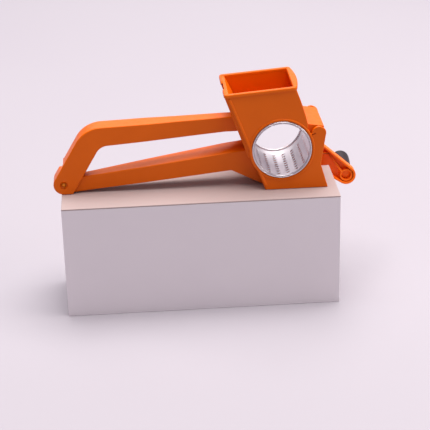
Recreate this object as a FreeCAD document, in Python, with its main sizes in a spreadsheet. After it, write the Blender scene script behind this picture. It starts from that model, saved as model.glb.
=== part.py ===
import FreeCAD, Part
import Sketcher
import math
import os
import re

# Rotary cheese grater, millimetres, +Z up.
# X points from the handle end to the chute, Y runs along the drum axis from the open end to the crank.
# The foot stands on Z = 0 and its middle is at X = 0, Y = 0.

DOC = FreeCAD.newDocument("grater")
SHEET = DOC.addObject("Spreadsheet::Sheet", "Sizes")

# Independent sizes.
SIZES = {
    "body_depth": 54.6,
    "foot_length": 55.4,
    "wall": 2.5,
    "running_gap": 0.1,
    "free_gap": 0.6,
    "drum_x": -13.0,
    "drum_z": 37.5,
    "drum_rim_radius": 26.3,
    "drum_rim_step": 1.0,
    "drum_sheet": 0.6,
    "drum_near_overhang": 1.0,
    "drum_far_overhang": 7.6,
    "drum_rim_width": 2.0,
    "drum_curl": 0.8,
    "tooth_columns": 19,
    "tooth_rows": 9,
    "tooth_width": 3.1,
    "tooth_length": 1.4,
    "tooth_pitch": 5.1,
    "tooth_margin": 9.1,
    "ring_band": 2.2,
    "slit_angle": 24.5,
    "slit_width": 0.8,
    "ear_radius": 6.2,
    "ear_rise": 13.6,
    "ear_out": 6.2,
    "waist_height": 21.9,
    "waist_inset": 6.4,
    "pivot_x": -204.7,
    "knuckle_radius": 9.0,
    "arms_offset": -2.6,
    "pivot_offset": -7.4,
    "rim_left_x": -60.8,
    "rim_left_z": 87.4,
    "rim_rise": 4.5,
    "rim_height": 3.0,
    "rim_proud": 1.0,
    "rim_lip": 0.5,
    "rim_bulge": 2.8,
    "left_wall_thickness": 3.0,
    "left_wall_top_thickness": 1.6,
    "left_wall_inset": 1.5,
    "left_wall_foot": 31.0,
    "slot_gap": 0.7,
    "roof_drop": 2.8,
    "roof_setback": 4.0,
    "roof_rise": 21.7,
    "cheek": 2.2,
    "front_setback": 1.5,
    "trough_thickness": 1.5,
    "trough_left_angle": 195.0,
    "trough_right_angle": 325.0,
    "lower_arm_tail_width": 11.6,
    "lower_arm_middle_width": 18.8,
    "lower_arm_head_width": 24.8,
    "lower_arm_tail_top": 13.0,
    "lower_arm_head_top": 34.4,
    "lower_arm_tail_bottom": 0.0,
    "lower_arm_head_bottom": 15.2,
    "gusset_length": 29.0,
    "lower_arm_boss_radius": 6.2,
    "lower_arm_skin": 2.0,
    "channel_wall": 2.2,
    "upper_arm_tail_width": 17.4,
    "upper_arm_head_width": 12.9,
    "upper_arm_middle_width": 14.7,
    "upper_arm_straight": 24.0,
    "upper_arm_wide": 75.0,
    "upper_arm_middle": 100.0,
    "upper_arm_depth_head": 13.8,
    "upper_arm_head_top": 63.3,
    "strut_angle": 59.2,
    "strut_length": 55.4,
    "elbow_out": 33.6,
    "elbow_rise": 34.5,
    "knuckle_heel": 7.7,
    "outer_bend_radius": 26.0,
    "inner_bend_radius": 12.0,
    "web_drop": 0.5,
    "web_notch_length": 6.0,
    "web_notch_width": 12.0,
    "web_notch_from_pivot": 12.0,
    "pin_radius": 2.0,
    "pin_recess": 1.0,
    "pin_counterbore": 2.9,
    "pin_gap": 0.05,
    "press_gap": 1.1,
    "presser_low": 46.0,
    "fin_thickness": 3.0,
    "fin_top": 74.0,
    "presser_plate": 2.4,
    "shield_thickness": 2.4,
    "shield_rise": 2.4,
    "side_gap": 0.5,
    "hub_flange": 4.7,
    "hub_length": 9.2,
    "hub_gap": 0.4,
    "collar_reach": 3.2,
    "crank_radius": 84.0,
    "crank_angle": 37.8,
    "crank_root_half": 13.5,
    "crank_tip_radius": 8.7,
    "crank_floor": 2.2,
    "crank_rib": 2.0,
    "crank_near_step": 1.0,
    "boss_tube_radius": 6.0,
    "spindle_radius": 2.4,
    "spindle_head_radius": 4.2,
    "spindle_head": 1.8,
    "knob_length": 36.0,
    "knob_neck_radius": 6.4,
    "knob_end_radius": 8.5,
    "knob_dome": 4.0,
    "knob_gap": 0.5,
    "cap_recess": 1.2,
}

# Sizes that follow from the ones above.
FITS = {
    "half_depth": "=body_depth / 2",
    "foot_half": "=foot_length / 2",
    "inner_half": "=half_depth - wall",
    "pivot_z": "=knuckle_radius",
    "reach": "=sqrt((drum_x - pivot_x)^2 + (drum_z - pivot_z)^2)",
    "drum_shell_radius": "=drum_rim_radius - drum_rim_step",
    "hole_radius": "=drum_rim_radius + running_gap",
    "ring_radius": "=hole_radius + ring_band",
    "clear_radius": "=drum_rim_radius + free_gap",
    "right_inner": "=reach + hole_radius - ring_band",
    "right_outer": "=right_inner + wall",
    "ear_x": "=drum_x + hole_radius + ear_out",
    "ear_z": "=drum_z + ear_rise",
    "waist_x": "=foot_half - waist_inset",
    "lean": "=(rim_left_x + foot_half) / rim_left_z",
    "rim_right_z": "=rim_left_z + rim_rise",
    "rim_right_x": "=pivot_x + sqrt(right_outer^2 - (rim_right_z - pivot_z)^2)",
    "rim_slope": "=rim_rise / (rim_right_x - rim_left_x)",
    "wall_end_x": "=rim_left_x - left_wall_top_thickness",
    "wall_end_z": "=rim_left_z - left_wall_top_thickness * rim_slope",
    "rim_low_x": "=wall_end_x - rim_lip",
    "rim_low_z": "=wall_end_z - rim_lip * rim_slope",
    "rim_high_x": "=rim_right_x + rim_lip + rim_bulge",
    "rim_high_z": "=rim_right_z + (rim_lip + rim_bulge) * rim_slope",
    "bulge_radius": "=(half_depth^2 + rim_bulge^2) / (2 * rim_bulge)",
    "slot_half": "=upper_arm_head_width / 2 + slot_gap",
    "slot_bottom": "=upper_arm_head_top - upper_arm_depth_head - 3",
    "roof_z": "=drum_z + roof_rise",
    "roof_half": "=half_depth - roof_setback",
    "roof_front_x": "=ear_x + ear_radius - front_setback",
    "roof_end_z": "=roof_z - roof_drop",
    "arm_joint_x": "=lean * lower_arm_head_top - foot_half",
    "gusset_x": "=gusset_length * -1 - foot_half",
    "trough_outer": "=clear_radius + trough_thickness",
    "knuckle_left_x": "=pivot_x - knuckle_radius * sin(strut_angle)",
    "knuckle_left_z": "=pivot_z + knuckle_radius * cos(strut_angle)",
    "bend_x": "=knuckle_left_x + strut_length * cos(strut_angle)",
    "bend_z": "=knuckle_left_z + strut_length * sin(strut_angle)",
    "elbow_x": "=pivot_x + elbow_out",
    "elbow_z": "=pivot_z + elbow_rise",
    "knuckle_inner": "=knuckle_radius - channel_wall",
    "straight_x": "=pivot_x + upper_arm_straight",
    "wide_x": "=pivot_x + upper_arm_wide",
    "middle_x": "=pivot_x + upper_arm_middle",
    "skew": "=(arms_offset - pivot_offset) / (rim_left_x - straight_x)",
    "channel_half": "=upper_arm_tail_width / 2 - channel_wall",
    "shield_face": "=sqrt((rim_left_x - pivot_x)^2 + (rim_left_z - pivot_z)^2) + free_gap",
    "shield_back": "=shield_face + shield_thickness",
    "presser_radius": "=drum_rim_radius + press_gap",
    "presser_outer": "=presser_radius + presser_plate",
    "presser_right": "=right_inner - free_gap",
    "presser_half": "=inner_half - side_gap",
    "drum_near_y": "=-half_depth - drum_near_overhang",
    "drum_far_y": "=half_depth + drum_far_overhang",
    "drum_length": "=drum_far_y - drum_near_y",
    "hub_radius": "=drum_rim_radius + hub_flange",
    "hub_mouth_radius": "=drum_shell_radius - drum_sheet / 2",
    "hub_y": "=half_depth + hub_gap",
    "hub_end_y": "=hub_y + hub_length",
    "hub_bore": "=drum_shell_radius + running_gap / 2",
    "crank_x": "=drum_x + crank_radius * cos(crank_angle)",
    "crank_z": "=drum_z - crank_radius * sin(crank_angle)",
    "crank_y": "=hub_y + crank_near_step",
    "crank_depth": "=hub_length - crank_near_step",
    "knob_y": "=hub_end_y + knob_gap",
}


def fill_sheet():
    """Write every size and every derived size into the sheet under its own alias."""
    row = 1
    for table in (SIZES, FITS):
        for name, value in table.items():
            SHEET.set("A%d" % row, name)
            SHEET.set("B%d" % row, str(value))
            SHEET.setAlias("B%d" % row, name)
            row += 1
    DOC.recompute()


fill_sheet()
NAMES = re.compile(r"\b(" + "|".join(list(SIZES) + list(FITS)) + r")\b")


def linked(text):
    """Turn the alias words of an expression into references to the sheet."""
    return NAMES.sub(r"Sizes.\1", str(text))


def size(name):
    """The value of one cell."""
    return float(SHEET.get(name))


def bind(item, path, text):
    """Drive one property of an object from the sheet."""
    item.setExpression(path, linked(text))


def place(item, x, y, z):
    """Drive the three coordinates of an object's placement from the sheet."""
    bind(item, "Placement.Base.x", x)
    bind(item, "Placement.Base.y", y)
    bind(item, "Placement.Base.z", z)


def disc(name, radius, x, z, low_y, length):
    """A cylinder whose axis runs along Y."""
    item = DOC.addObject("Part::Cylinder", name)
    item.Placement = FreeCAD.Placement(
        FreeCAD.Vector(), FreeCAD.Rotation(FreeCAD.Vector(1, 0, 0), -90)
    )
    bind(item, "Radius", radius)
    bind(item, "Height", length)
    place(item, x, low_y, z)
    return item


def taper(name, radius_near, radius_far, x, z, low_y, length):
    """A cone frustum whose axis runs along Y."""
    item = DOC.addObject("Part::Cone", name)
    item.Placement = FreeCAD.Placement(
        FreeCAD.Vector(), FreeCAD.Rotation(FreeCAD.Vector(1, 0, 0), -90)
    )
    bind(item, "Radius1", radius_near)
    bind(item, "Radius2", radius_far)
    bind(item, "Height", length)
    place(item, x, low_y, z)
    return item


def block(name, low, lengths):
    """A box given by its low corner and its three lengths."""
    item = DOC.addObject("Part::Box", name)
    bind(item, "Length", lengths[0])
    bind(item, "Width", lengths[1])
    bind(item, "Height", lengths[2])
    place(item, low[0], low[1], low[2])
    return item


def polygon_sketch(name, points):
    """A closed polygon whose corners are each bound to two expressions."""
    sketch = DOC.addObject("Sketcher::SketchObject", name + "_sketch")
    values = []
    for across, up in points:
        values.append((evaluate(sketch, across), evaluate(sketch, up)))
    count = len(points)
    for index in range(count):
        start = FreeCAD.Vector(values[index][0], values[index][1], 0)
        finish_index = (index + 1) % count
        finish = FreeCAD.Vector(values[finish_index][0], values[finish_index][1], 0)
        sketch.addGeometry(Part.LineSegment(start, finish), False)
    for index in range(count):
        sketch.addConstraint(Sketcher.Constraint("Coincident", index, 2, (index + 1) % count, 1))
    for index in range(count):
        across_row = sketch.addConstraint(
            Sketcher.Constraint("DistanceX", -1, 1, index, 1, values[index][0])
        )
        up_row = sketch.addConstraint(
            Sketcher.Constraint("DistanceY", -1, 1, index, 1, values[index][1])
        )
        bind(sketch, "Constraints[%d]" % across_row, points[index][0])
        bind(sketch, "Constraints[%d]" % up_row, points[index][1])
    return sketch


def evaluate(item, text):
    """The present value of an expression as a plain number."""
    value = item.evalExpression(linked(text))
    return float(getattr(value, "Value", value))


def extrude(name, sketch, direction, length):
    """A solid pushed out of a sketch along one axis."""
    item = DOC.addObject("Part::Extrusion", name)
    item.Base = sketch
    item.DirMode = "Custom"
    item.Dir = FreeCAD.Vector(direction)
    item.Solid = True
    bind(item, "LengthFwd", length)
    return item


def side_slab(name, points, low_y, length):
    """A slab with a side outline of (x, z) corners, pushed out along Y."""
    sketch = polygon_sketch(name, points)
    sketch.Placement = FreeCAD.Placement(
        FreeCAD.Vector(), FreeCAD.Rotation(FreeCAD.Vector(1, 0, 0), 90)
    )
    bind(sketch, "Placement.Base.y", low_y)
    return extrude(name, sketch, (0, 1, 0), length)


def plan_slab(name, points, low_z, length):
    """A slab with a plan outline of (x, y) corners, pushed out along Z."""
    sketch = polygon_sketch(name, points)
    bind(sketch, "Placement.Base.z", low_z)
    return extrude(name, sketch, (0, 0, 1), length)


def cut(name, base, *tools):
    """The base with every tool taken away in turn."""
    result = base
    for number, tool in enumerate(tools):
        item = DOC.addObject("Part::Cut", "%s_cut_%d" % (name, number))
        item.Base = result
        item.Tool = tool
        result = item
    result.Label = name
    return result


def common(name, first, second):
    """What two solids share."""
    item = DOC.addObject("Part::Common", name + "_common")
    item.Base = first
    item.Tool = second
    item.Label = name
    return item


def fuse(name, *solids):
    """Several solids joined into one."""
    item = DOC.addObject("Part::MultiFuse", name + "_fuse")
    item.Shapes = list(solids)
    item.Refine = True
    item.Label = name
    return item


def rounded(name, base, corners):
    """Round the edges along Y that stand at the given (x, z, radius cell) corners."""
    DOC.recompute()
    item = DOC.addObject("Part::Fillet", name + "_fillet")
    item.Base = base
    edges = []
    for across, up, radius in corners:
        target = FreeCAD.Vector(evaluate(base, across), 0, evaluate(base, up))
        edges.append((nearest_y_edge(base.Shape, target), size(radius), size(radius)))
    item.Edges = edges
    item.Label = name
    return item


def nearest_y_edge(shape, target):
    """The number of the straight edge along Y that passes nearest to a point of the XZ plane."""
    best = None
    for number, edge in enumerate(shape.Edges, 1):
        start, finish = edge.Vertexes[0].Point, edge.Vertexes[-1].Point
        run = finish - start
        if abs(run.x) + abs(run.z) > 0.001 or abs(run.y) < 0.001:
            continue
        away = math.hypot(start.x - target.x, start.z - target.z)
        if best is None or away < best[0]:
            best = (away, number)
    return best[1]


# Side plates: a panel for the hopper side, one for the waisted foot, a ring round the drum, an ear.
def side_plate(name, low_y):
    """A side wall of the body with its drum hole, its flexing ear and the slit beside it."""
    hopper = side_slab(name + "_hopper", [
        ("rim_left_x", "rim_left_z"),
        ("-foot_half", "0"),
        ("drum_x", "0"),
        ("drum_x", "drum_z"),
        ("ear_x - ear_radius / 2", "ear_z - ear_radius / 2"),
        ("ear_x - ear_radius / 2", "ear_z"),
        ("rim_right_x + wall * 4", "ear_z"),
        ("rim_right_x + wall * 4", "rim_right_z + wall * 4 * rim_slope"),
    ], low_y, "wall")
    reach_disc = disc(name + "_reach", "right_outer", "pivot_x", "pivot_z", low_y, "wall")
    upper = common(name + "_upper", hopper, reach_disc)
    lower = side_slab(name + "_lower", [
        ("-foot_half", "0"),
        ("foot_half", "0"),
        ("waist_x", "waist_height"),
        ("ear_x + ear_radius", "ear_z"),
        ("ear_x - ear_radius", "ear_z"),
        ("drum_x", "drum_z"),
    ], low_y, "wall")
    ring = disc(name + "_ring", "ring_radius", "drum_x", "drum_z", low_y, "wall")
    ear = disc(name + "_ear", "ear_radius", "ear_x", "ear_z", low_y, "wall")
    hole = disc(name + "_hole", "hole_radius", "drum_x", "drum_z", low_y, "wall")
    slit_size = ("ear_out + hole_radius", "wall", "slit_width")
    slit = block(name + "_slit", ("drum_x", low_y, "drum_z"), slit_size)
    slit.Placement = FreeCAD.Placement(FreeCAD.Vector(), FreeCAD.Rotation(FreeCAD.Vector(0, -1, 0), 20))
    bind(slit, "Placement.Rotation.Angle", "slit_angle")
    return cut(name, fuse(name + "_whole", upper, lower, ring, ear), hole, slit)


def hopper_left_wall():
    """The handle-side wall, split down the middle so that the pressing arm can drop in."""
    slab = side_slab("left_wall_slab", [
        ("lean * left_wall_foot - foot_half", "left_wall_foot"),
        ("rim_left_x", "rim_left_z"),
        ("wall_end_x", "wall_end_z"),
        ("lean * left_wall_foot - foot_half - left_wall_thickness", "left_wall_foot"),
    ], "left_wall_inset - half_depth", "body_depth - left_wall_inset * 2")
    slot = block(
        "left_wall_slot",
        ("wall_end_x - left_wall_thickness * 2", "arms_offset - slot_half", "slot_bottom"),
        ("foot_length", "slot_half * 2", "rim_left_z"),
    )
    ring_space = disc("left_wall_ring", "ring_radius", "drum_x", "drum_z", "-half_depth", "body_depth")
    return cut("hopper_left_wall", slab, slot, ring_space)


def hopper_right_wall():
    """The chute-side wall, curved about the arm pivot so that the presser sweeps past it."""
    panel = side_slab("right_wall_panel", [
        ("rim_left_x", "ear_z - ear_radius"),
        ("ear_x", "ear_z - ear_radius"),
        ("rim_right_x + wall * 4", "rim_right_z + wall * 4 * rim_slope"),
        ("rim_left_x", "rim_left_z"),
    ], "-inner_half", "inner_half * 2")
    across = ("-inner_half", "inner_half * 2")
    outside = disc("right_wall_outside", "right_outer", "pivot_x", "pivot_z", *across)
    inside = disc("right_wall_inside", "right_inner", "pivot_x", "pivot_z", *across)
    swept = disc("right_wall_drum", "clear_radius + wall / 2", "drum_x", "drum_z", *across)
    return cut("hopper_right_wall", common("right_wall_skin", panel, outside), inside, swept)


def hopper_rim():
    """The rolled lip that runs round the mouth of the hopper."""
    band = side_slab("rim_band", [
        ("rim_low_x", "rim_low_z"),
        ("rim_high_x", "rim_high_z"),
        ("rim_high_x", "rim_high_z + rim_height"),
        ("rim_low_x", "rim_low_z + rim_height"),
    ], "-half_depth - rim_proud", "body_depth + rim_proud * 2")
    bulge = DOC.addObject("Part::Cylinder", "rim_bulge_disc")
    bind(bulge, "Radius", "bulge_radius")
    bind(bulge, "Height", "rim_high_z * 2")
    place(bulge, "rim_high_x - bulge_radius", "0", "0")
    bowed = common("rim_bowed", band, bulge)
    mouth_panel = side_slab("rim_mouth_panel", [
        ("rim_left_x", "rim_left_z - rim_height"),
        ("rim_high_x", "rim_left_z - rim_height"),
        ("rim_high_x", "rim_high_z + rim_height * 2"),
        ("rim_left_x + lean * rim_height * 3", "rim_left_z + rim_height * 3"),
    ], "-inner_half", "inner_half * 2")
    sweep = disc("rim_sweep", "right_inner", "pivot_x", "pivot_z", "-inner_half", "inner_half * 2")
    mouth = common("rim_mouth", mouth_panel, sweep)
    slot = block(
        "rim_slot",
        ("wall_end_x - foot_length", "arms_offset - slot_half", "slot_bottom"),
        ("foot_length + left_wall_top_thickness + wall", "slot_half * 2", "rim_left_z"),
    )
    return cut("hopper_rim", bowed, mouth, slot)


def chute_roof():
    """The flat roof of the chute between the two ears."""
    slab = side_slab("roof_slab", [
        ("ear_x - ear_radius * 2", "roof_z"),
        ("roof_front_x", "roof_end_z"),
        ("roof_front_x", "roof_end_z - cheek"),
        ("ear_x - ear_radius * 2", "roof_z - cheek"),
    ], "-roof_half", "roof_half * 2")
    sweep = disc("roof_sweep", "right_outer", "pivot_x", "pivot_z", "-roof_half", "roof_half * 2")
    return cut("chute_roof", slab, sweep)


def chute_cheek(name, low_y):
    """A side wall of the chute mouth, from the roof down to the foot plate."""
    slab = side_slab(name + "_slab", [
        ("roof_front_x", "roof_end_z - cheek"),
        ("waist_x - front_setback", "waist_height"),
        ("foot_half - front_setback", "wall"),
        ("drum_x", "wall"),
        ("drum_x", "roof_z - cheek"),
        ("ear_x - ear_radius * 2", "roof_z - cheek"),
    ], low_y, "cheek")
    swept = disc(name + "_drum", "trough_outer", "drum_x", "drum_z", low_y, "cheek")
    sweep = disc(name + "_sweep", "right_outer", "pivot_x", "pivot_z", low_y, "cheek")
    return cut(name, slab, swept, sweep)


def chute_apron():
    """The slope that leads from the trough down to the front of the foot."""
    half = "roof_half - cheek"
    slab = side_slab("apron_slab", [
        (
            "drum_x + trough_outer * cos(trough_right_angle)",
            "drum_z + trough_outer * sin(trough_right_angle)",
        ),
        ("foot_half - front_setback", "wall"),
        ("foot_half - front_setback - cheek * 2", "wall"),
        (
            "drum_x + trough_outer * cos(trough_right_angle - 6)",
            "drum_z + trough_outer * sin(trough_right_angle - 6)",
        ),
    ], "cheek - roof_half", "(" + half + ") * 2")
    swept = disc("apron_drum", "trough_outer", "drum_x", "drum_z", "-half_depth", "body_depth")
    return cut("chute_apron", slab, swept)


def drum_trough():
    """The curved wall under the drum."""
    low_y, length = "-inner_half", "inner_half * 2"
    outside = disc("trough_outside", "trough_outer", "drum_x", "drum_z", low_y, length)
    inside = disc("trough_inside", "clear_radius", "drum_x", "drum_z", low_y, length)
    far = "trough_outer * 2"
    sector = side_slab("trough_sector", [
        ("drum_x", "drum_z"),
        ("drum_x + %s * cos(trough_left_angle)" % far, "drum_z + %s * sin(trough_left_angle)" % far),
        ("drum_x - " + far, "drum_z - " + far),
        ("drum_x + " + far, "drum_z - " + far),
        ("drum_x + %s * cos(trough_right_angle)" % far, "drum_z + %s * sin(trough_right_angle)" % far),
    ], low_y, length)
    return cut("drum_trough", common("trough_arc", outside, sector), inside)


def foot_plate():
    """The flat plate that ties the two side walls together at the table."""
    return side_slab("foot_plate", [
        ("-foot_half", "0"),
        ("foot_half - front_setback", "0"),
        ("foot_half - front_setback", "wall"),
        ("lean * wall - foot_half", "wall"),
    ], "-inner_half", "inner_half * 2")


def centre_line(x):
    """The y of the arms' centre line at x: it runs at a slight angle from pivot to hopper."""
    return "pivot_offset + skew * (%s - straight_x)" % x


def arm_plan(name, tail_x, tail_half, stations, head_half, low_z, height):
    """The outline of an arm from above, as a slab.

    It is straight at the tail and the head. Between them each (x, half width) lies about the centre line.
    """
    outline = [(tail_x, "pivot_offset", tail_half), ("straight_x", "pivot_offset", tail_half)]
    for x, half in stations:
        outline.append((x, centre_line(x), half))
    outline.append(("rim_left_x", "arms_offset", head_half))
    outline.append(("drum_x", "arms_offset", head_half))
    near = [(x, "%s - (%s)" % (centre, half)) for x, centre, half in outline]
    far = [(x, "%s + (%s)" % (centre, half)) for x, centre, half in reversed(outline)]
    return plan_slab(name, near + far, low_z, height)


def lower_arm():
    """The fixed handle arm, a channel open underneath with a gusset at the foot."""
    outline = side_slab("lower_arm_outline", [
        ("pivot_x", "lower_arm_tail_top"),
        ("arm_joint_x - left_wall_thickness", "lower_arm_head_top"),
        ("lean * left_wall_foot - foot_half - left_wall_thickness", "left_wall_foot"),
        ("lean * left_wall_foot - foot_half", "left_wall_foot"),
        ("lean * wall - foot_half", "wall"),
        ("-foot_half", "0"),
        ("gusset_x", "lower_arm_head_bottom"),
        ("pivot_x", "lower_arm_tail_bottom"),
    ], "-half_depth", "body_depth")
    plan = arm_plan("lower_arm_plan", "pivot_x - knuckle_radius", "lower_arm_tail_width / 2", [
        ("wide_x", "lower_arm_middle_width / 2"),
    ], "lower_arm_head_width / 2", "-knuckle_radius", "drum_z * 2")
    solid = common("lower_arm_solid", outline, plan)
    hollow = side_slab("lower_arm_hollow", [
        ("pivot_x + knuckle_radius * 2", "-knuckle_radius"),
        ("pivot_x + knuckle_radius * 2", "lower_arm_tail_top + lower_arm_skin / 4"),
        ("gusset_x + lower_arm_skin * 2", "lower_arm_head_top - lower_arm_skin * 2.2"),
        ("gusset_x + lower_arm_skin * 2", "-knuckle_radius"),
    ], "-half_depth", "body_depth")
    hollow_plan = arm_plan(
        "lower_arm_hollow_plan", "pivot_x - knuckle_radius", "lower_arm_tail_width / 2 - lower_arm_skin", [
            ("wide_x", "lower_arm_middle_width / 2 - lower_arm_skin"),
        ], "lower_arm_head_width / 2 - lower_arm_skin", "-knuckle_radius * 2", "drum_z * 2")
    inside = common("lower_arm_inside", hollow, hollow_plan)
    swept = disc("lower_arm_drum", "trough_outer", "drum_x", "drum_z", "-half_depth", "body_depth")
    body = cut("lower_arm_body", solid, inside, swept)
    low_y, length = "pivot_offset - channel_half + side_gap", "(channel_half - side_gap) * 2"
    boss = disc("lower_arm_boss", "lower_arm_boss_radius", "pivot_x", "pivot_z", low_y, length)
    bore = disc("lower_arm_bore", "pin_radius", "pivot_x", "pivot_z", low_y, length)
    return cut("lower_arm", fuse("lower_arm_with_boss", body, boss), bore)


def pivot_pin():
    """The moulded pin that the pressing arm swings on, held fast in the lower arm."""
    return disc(
        "pivot_pin", "pin_radius", "pivot_x", "pivot_z",
        "pivot_offset - upper_arm_tail_width / 2 + pin_recess", "upper_arm_tail_width - pin_recess * 2",
    )


def upper_arm():
    """The pressing arm: a bent channel, open underneath, that straddles the lower arm at its knuckle."""
    low_y, length = "-body_depth", "body_depth * 2"
    outline = side_slab("upper_arm_outline", [
        ("pivot_x + knuckle_heel", "0"),
        ("elbow_x", "elbow_z"),
        ("rim_left_x", "upper_arm_head_top - upper_arm_depth_head"),
        ("drum_x", "upper_arm_head_top - upper_arm_depth_head"),
        ("drum_x", "upper_arm_head_top"),
        ("rim_left_x", "upper_arm_head_top"),
        ("bend_x", "bend_z"),
        ("knuckle_left_x", "knuckle_left_z"),
        ("pivot_x", "pivot_z"),
        ("pivot_x", "0"),
    ], low_y, length)
    bent = rounded("upper_arm_bent", outline, [
        ("elbow_x", "elbow_z", "inner_bend_radius"),
        ("bend_x", "bend_z", "outer_bend_radius"),
    ])
    knuckle = disc("upper_arm_knuckle", "knuckle_radius", "pivot_x", "pivot_z", low_y, length)
    profile = fuse("upper_arm_profile", bent, knuckle)
    plan = arm_plan("upper_arm_plan", "pivot_x - knuckle_radius * 2", "upper_arm_tail_width / 2", [
        ("wide_x", "upper_arm_tail_width / 2"),
        ("middle_x", "upper_arm_middle_width / 2"),
    ], "upper_arm_head_width / 2", "-knuckle_radius", "upper_arm_head_top * 2")
    solid = common("upper_arm_solid", profile, plan)
    hollow = side_slab("upper_arm_hollow", [
        ("pivot_x - knuckle_inner * sin(strut_angle)", "pivot_z + knuckle_inner * cos(strut_angle)"),
        ("bend_x + channel_wall * 0.5", "bend_z - channel_wall * 1.4"),
        ("wall_end_x - channel_wall * 3", "upper_arm_head_top - channel_wall * 1.1"),
        ("wall_end_x - channel_wall * 3", "lower_arm_head_top"),
        ("elbow_x", "lower_arm_head_top / 2"),
        ("pivot_x + knuckle_heel * 3", "-knuckle_radius"),
        ("pivot_x - knuckle_radius * 2", "-knuckle_radius"),
        ("pivot_x - knuckle_radius * 2", "pivot_z - web_drop"),
        ("pivot_x", "pivot_z - web_drop"),
    ], low_y, length)
    rounded_hollow = rounded("upper_arm_rounded_hollow", hollow, [
        ("bend_x + channel_wall * 0.5", "bend_z - channel_wall * 1.4", "outer_bend_radius"),
    ])
    knuckle_hollow = disc("upper_arm_knuckle_hollow", "knuckle_inner", "pivot_x", "pivot_z", low_y, length)
    hollow_profile = fuse("upper_arm_hollow_profile", rounded_hollow, knuckle_hollow)
    hollow_plan = arm_plan("upper_arm_hollow_plan", "pivot_x - knuckle_radius * 2", "channel_half", [
        ("wide_x", "channel_half"),
        ("middle_x", "upper_arm_middle_width / 2 - channel_wall"),
    ], "upper_arm_head_width / 2 - channel_wall", "-knuckle_radius * 2", "upper_arm_head_top * 2")
    inside = common("upper_arm_inside", hollow_profile, hollow_plan)
    notch = block(
        "upper_arm_notch",
        (
            "knuckle_left_x + web_notch_from_pivot * cos(strut_angle) - web_notch_length / 2",
            "pivot_offset - web_notch_width / 4",
            "knuckle_left_z + web_notch_from_pivot * sin(strut_angle) - web_notch_length / 2",
        ),
        ("web_notch_length", "web_notch_width", "web_notch_length"),
    )
    bore = disc("upper_arm_bore", "pin_radius + pin_gap", "pivot_x", "pivot_z", low_y, length)
    sinks = []
    for number, side in enumerate(("-1", "1")):
        face = "pivot_offset + %s * upper_arm_tail_width / 2" % side
        sink_low = "%s - pin_recess" % face
        sinks.append(disc(
            "upper_arm_sink_%d" % number, "pin_counterbore", "pivot_x", "pivot_z", sink_low, "pin_recess * 2"
        ))
    sweep = disc("upper_arm_sweep", "shield_face", "pivot_x", "pivot_z", low_y, length)
    trimmed = common("upper_arm_trimmed", solid, sweep)
    return cut("upper_arm", trimmed, inside, notch, bore, *sinks)


def presser_foot():
    """The curved plate that pushes the cheese on to the drum."""
    low_y, length = "-presser_half", "presser_half * 2"
    outside = disc("presser_outside", "presser_outer", "drum_x", "drum_z", low_y, length)
    reach = disc("presser_reach", "presser_right", "pivot_x", "pivot_z", low_y, length)
    inside = disc("presser_inside", "presser_radius", "drum_x", "drum_z", low_y, length)
    behind = disc("presser_behind", "shield_back", "pivot_x", "pivot_z", low_y, length)
    below = block(
        "presser_below",
        ("drum_x - presser_outer", low_y, "drum_z - presser_outer"),
        ("presser_outer * 2", length, "presser_low - drum_z + presser_outer"),
    )
    return cut("presser_foot", common("presser_skin", outside, reach), inside, behind, below)


def presser_shield():
    """The curved back of the presser, which keeps the slot in the hopper wall shut."""
    low_y, length = "-presser_half", "presser_half * 2"
    outside = disc("shield_outside", "shield_back", "pivot_x", "pivot_z", low_y, length)
    inside = disc("shield_inside", "shield_face", "pivot_x", "pivot_z", low_y, length)
    window = block(
        "shield_window",
        ("rim_left_x - wall", low_y, "presser_low"),
        ("foot_length", length, "rim_left_z + shield_rise - presser_low"),
    )
    return cut("presser_shield", common("shield_skin", outside, window), inside)


def presser_fin():
    """The rib that stiffens the presser behind the arm."""
    low_y, length = "arms_offset - fin_thickness / 2", "fin_thickness"
    panel = side_slab("fin_panel", [
        ("rim_left_x", "presser_low"),
        ("drum_x", "presser_low"),
        ("ear_x", "drum_z + presser_outer * 0.8"),
        ("drum_x + presser_outer / 2", "drum_z + presser_outer"),
        ("drum_x - presser_outer / 2", "fin_top"),
        ("rim_left_x", "fin_top"),
    ], low_y, length)
    reach = disc("fin_reach", "presser_right", "pivot_x", "pivot_z", low_y, length)
    below = disc("fin_below", "presser_outer", "drum_x", "drum_z", low_y, length)
    behind = disc("fin_behind", "shield_back", "pivot_x", "pivot_z", low_y, length)
    return cut("presser_fin", common("fin_skin", panel, reach), below, behind)


def tooth_cutters():
    """Every pierced slot of the drum as one cutting shape, sized from the sheet."""
    columns = int(size("tooth_columns"))
    rows = int(size("tooth_rows"))
    radius = size("drum_shell_radius")
    bars = []
    for column in range(columns):
        for row in range(rows):
            along = size("drum_near_y") + size("tooth_margin") + row * size("tooth_pitch")
            bar = Part.makeBox(radius, size("tooth_length"), size("tooth_width"))
            bar.translate(FreeCAD.Vector(radius / 2, -size("tooth_length") / 2, -size("tooth_width") / 2))
            bar.rotate(FreeCAD.Vector(), FreeCAD.Vector(0, 1, 0), 360.0 * column / columns)
            bar.translate(FreeCAD.Vector(size("drum_x"), along, size("drum_z")))
            bars.append(bar)
    item = DOC.addObject("Part::Feature", "tooth_cutters")
    item.Shape = Part.makeCompound(bars)
    return item


def drum_shell():
    """The sheet metal grating cylinder, open at both ends."""
    outside = disc("shell_outside", "drum_shell_radius", "drum_x", "drum_z", "drum_near_y", "drum_length")
    inside = disc(
        "shell_inside", "drum_shell_radius - drum_sheet", "drum_x", "drum_z", "drum_near_y", "drum_length"
    )
    return cut("drum_shell", outside, inside, tooth_cutters())


def ring(name, outer, inner, low_y, length, x="drum_x", z="drum_z"):
    """A plain ring about an axis along Y."""
    outside = disc(name + "_outside", outer, x, z, low_y, length)
    inside = disc(name + "_inside", inner, x, z, low_y, length)
    return cut(name, outside, inside)


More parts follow.
